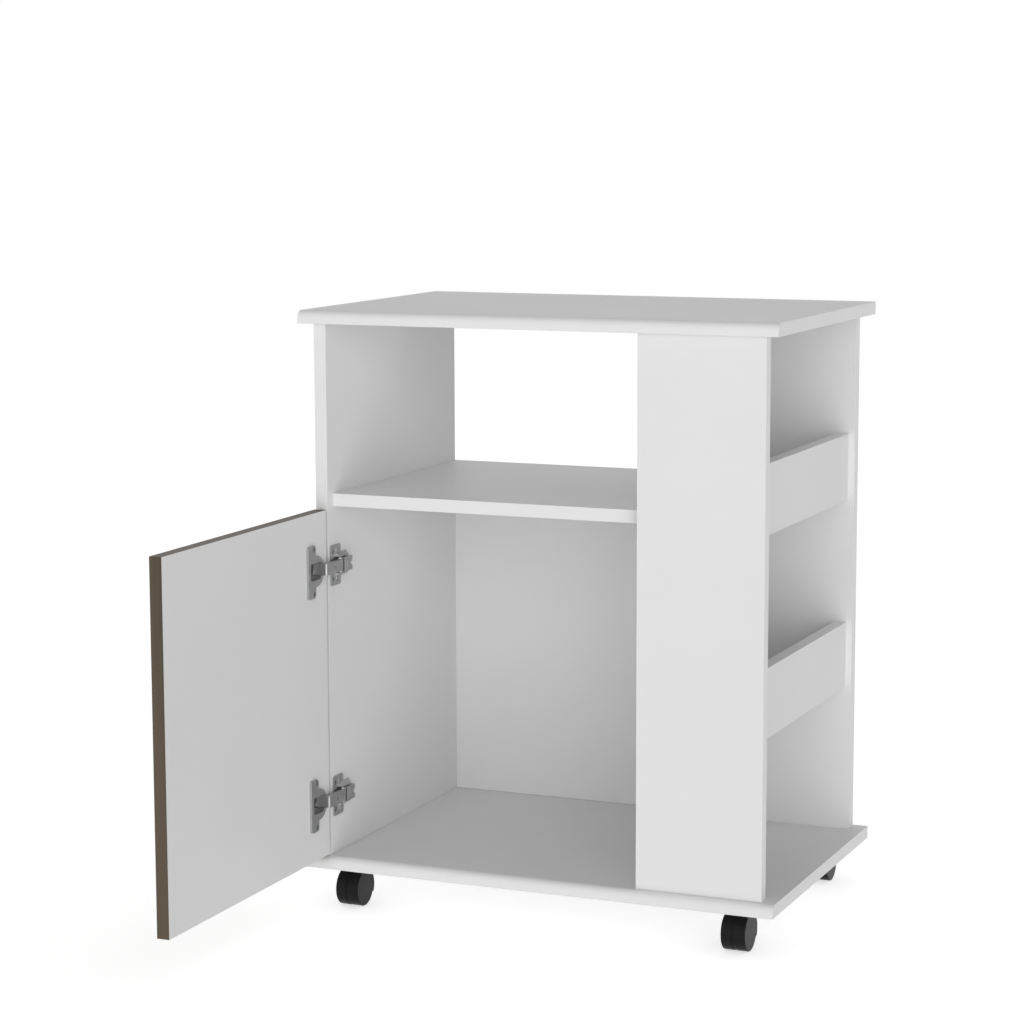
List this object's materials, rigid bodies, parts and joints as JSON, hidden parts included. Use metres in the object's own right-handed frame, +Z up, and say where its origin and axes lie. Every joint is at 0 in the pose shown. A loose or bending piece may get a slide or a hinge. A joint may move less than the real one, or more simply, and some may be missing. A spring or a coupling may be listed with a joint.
{
  "type": "microwave cart",
  "caption": "Kitchen cart on swivel casters: a flat top for a microwave, an open niche over a cupboard with an inset hinged door, and a side rack with retaining rails.",
  "frame": {"origin": "on the floor, in the middle of the outline in plan with the door at rest, swung 90 degrees open", "axes": "+X to the cart's right seen from its front, +Y to its back, +Z up"},
  "size_m": [0.576, 0.749, 0.7035],
  "materials": {
    "white_board": "white melamine-faced particle board, fine matte texture, white edge banding",
    "door_board": "melamine-faced particle board, white inside, dark walnut wood-effect outside and on its edges",
    "hardboard": "thin hardboard, white lacquered front, bare brown back",
    "nickel_steel": "nickel-plated pressed steel",
    "zinc_steel": "zinc-plated steel",
    "black_plastic": "moulded black plastic, soft sheen"
  },
  "bodies": {
    "carcass": {"base_panel": "white_board", "left_side_panel": "white_board", "partition_panel": "white_board", "fixed_shelf": "white_board", "rack_front_panel": "white_board", "rack_back_panel": "white_board", "top_panel": "white_board", "back_board": "hardboard", "rack_shelf_lower": "white_board", "rack_rail_lower": "white_board", "rack_shelf_upper": "white_board", "rack_rail_upper": "white_board", "hinge_plate_lower": "nickel_steel", "hinge_arm_lower": "nickel_steel", "hinge_pin_lower": "nickel_steel", "plate_screw_lower_bottom": "zinc_steel", "plate_screw_lower_top": "zinc_steel", "hinge_plate_upper": "nickel_steel", "hinge_arm_upper": "nickel_steel", "hinge_pin_upper": "nickel_steel", "plate_screw_upper_bottom": "zinc_steel", "plate_screw_upper_top": "zinc_steel", "caster_plate_front_left": "zinc_steel", "caster_kingpin_front_left": "zinc_steel", "caster_plate_front_right": "zinc_steel", "caster_kingpin_front_right": "zinc_steel", "caster_plate_back_left": "zinc_steel", "caster_kingpin_back_left": "zinc_steel", "caster_plate_back_right": "zinc_steel", "caster_kingpin_back_right": "zinc_steel"},
    "door": {"door_panel": "door_board", "hinge_cup_lower": "nickel_steel", "cup_screw_lower_bottom": "zinc_steel", "cup_screw_lower_top": "zinc_steel", "hinge_cup_upper": "nickel_steel", "cup_screw_upper_bottom": "zinc_steel", "cup_screw_upper_top": "zinc_steel"},
    "hinge_link_lower": {"hinge_link_lower": "nickel_steel"},
    "hinge_link_upper": {"hinge_link_upper": "nickel_steel"},
    "swivel_front_left": {"caster_housing_front_left": "black_plastic"},
    "wheels_front_left": {"caster_axle_front_left": "zinc_steel", "wheel_front_left_a": "black_plastic", "wheel_front_left_b": "black_plastic"},
    "swivel_front_right": {"caster_housing_front_right": "black_plastic"},
    "wheels_front_right": {"caster_axle_front_right": "zinc_steel", "wheel_front_right_a": "black_plastic", "wheel_front_right_b": "black_plastic"},
    "swivel_back_left": {"caster_housing_back_left": "black_plastic"},
    "wheels_back_left": {"caster_axle_back_left": "zinc_steel", "wheel_back_left_a": "black_plastic", "wheel_back_left_b": "black_plastic"},
    "swivel_back_right": {"caster_housing_back_right": "black_plastic"},
    "wheels_back_right": {"caster_axle_back_right": "zinc_steel", "wheel_back_right_a": "black_plastic", "wheel_back_right_b": "black_plastic"}
  },
  "joints": [
    {"name": "door_hinge", "type": "hinge", "parent": "carcass", "child": "door", "pos_m": [-0.265, 0.0115, 0.2675], "axis": [0, 0, 1], "range_deg": [-5, 90]},
    {"name": "link_lower_turn", "type": "hinge", "parent": "carcass", "child": "hinge_link_lower", "pos_m": [-0.251, 0.0235, 0.1325], "axis": [0, 0, 1], "range_deg": [-5, 90]},
    {"name": "link_upper_turn", "type": "hinge", "parent": "carcass", "child": "hinge_link_upper", "pos_m": [-0.251, 0.0235, 0.4065], "axis": [0, 0, 1], "range_deg": [-5, 90]},
    {"name": "swivel_front_left_turn", "type": "hinge", "parent": "carcass", "child": "swivel_front_left", "pos_m": [-0.2385, 0.043, 0.043], "axis": [0, 0, 1], "continuous": true},
    {"name": "wheels_front_left_roll", "type": "hinge", "parent": "swivel_front_left", "child": "wheels_front_left", "pos_m": [-0.2385, 0.027, 0.0215], "axis": [1, 0, 0], "continuous": true},
    {"name": "swivel_front_right_turn", "type": "hinge", "parent": "carcass", "child": "swivel_front_right", "pos_m": [0.2385, 0.043, 0.043], "axis": [0, 0, 1], "continuous": true},
    {"name": "wheels_front_right_roll", "type": "hinge", "parent": "swivel_front_right", "child": "wheels_front_right", "pos_m": [0.2385, 0.027, 0.0215], "axis": [1, 0, 0], "continuous": true},
    {"name": "swivel_back_left_turn", "type": "hinge", "parent": "carcass", "child": "swivel_back_left", "pos_m": [-0.2385, 0.326, 0.043], "axis": [0, 0, 1], "continuous": true},
    {"name": "wheels_back_left_roll", "type": "hinge", "parent": "swivel_back_left", "child": "wheels_back_left", "pos_m": [-0.2385, 0.342, 0.0215], "axis": [1, 0, 0], "continuous": true},
    {"name": "swivel_back_right_turn", "type": "hinge", "parent": "carcass", "child": "swivel_back_right", "pos_m": [0.2385, 0.326, 0.043], "axis": [0, 0, 1], "continuous": true},
    {"name": "wheels_back_right_roll", "type": "hinge", "parent": "swivel_back_right", "child": "wheels_back_right", "pos_m": [0.2385, 0.342, 0.0215], "axis": [1, 0, 0], "continuous": true}
  ],
  "couplings": [
    {"joint": "link_lower_turn", "follows": "door_hinge", "ratio": 1},
    {"joint": "link_upper_turn", "follows": "door_hinge", "ratio": 1}
  ]
}
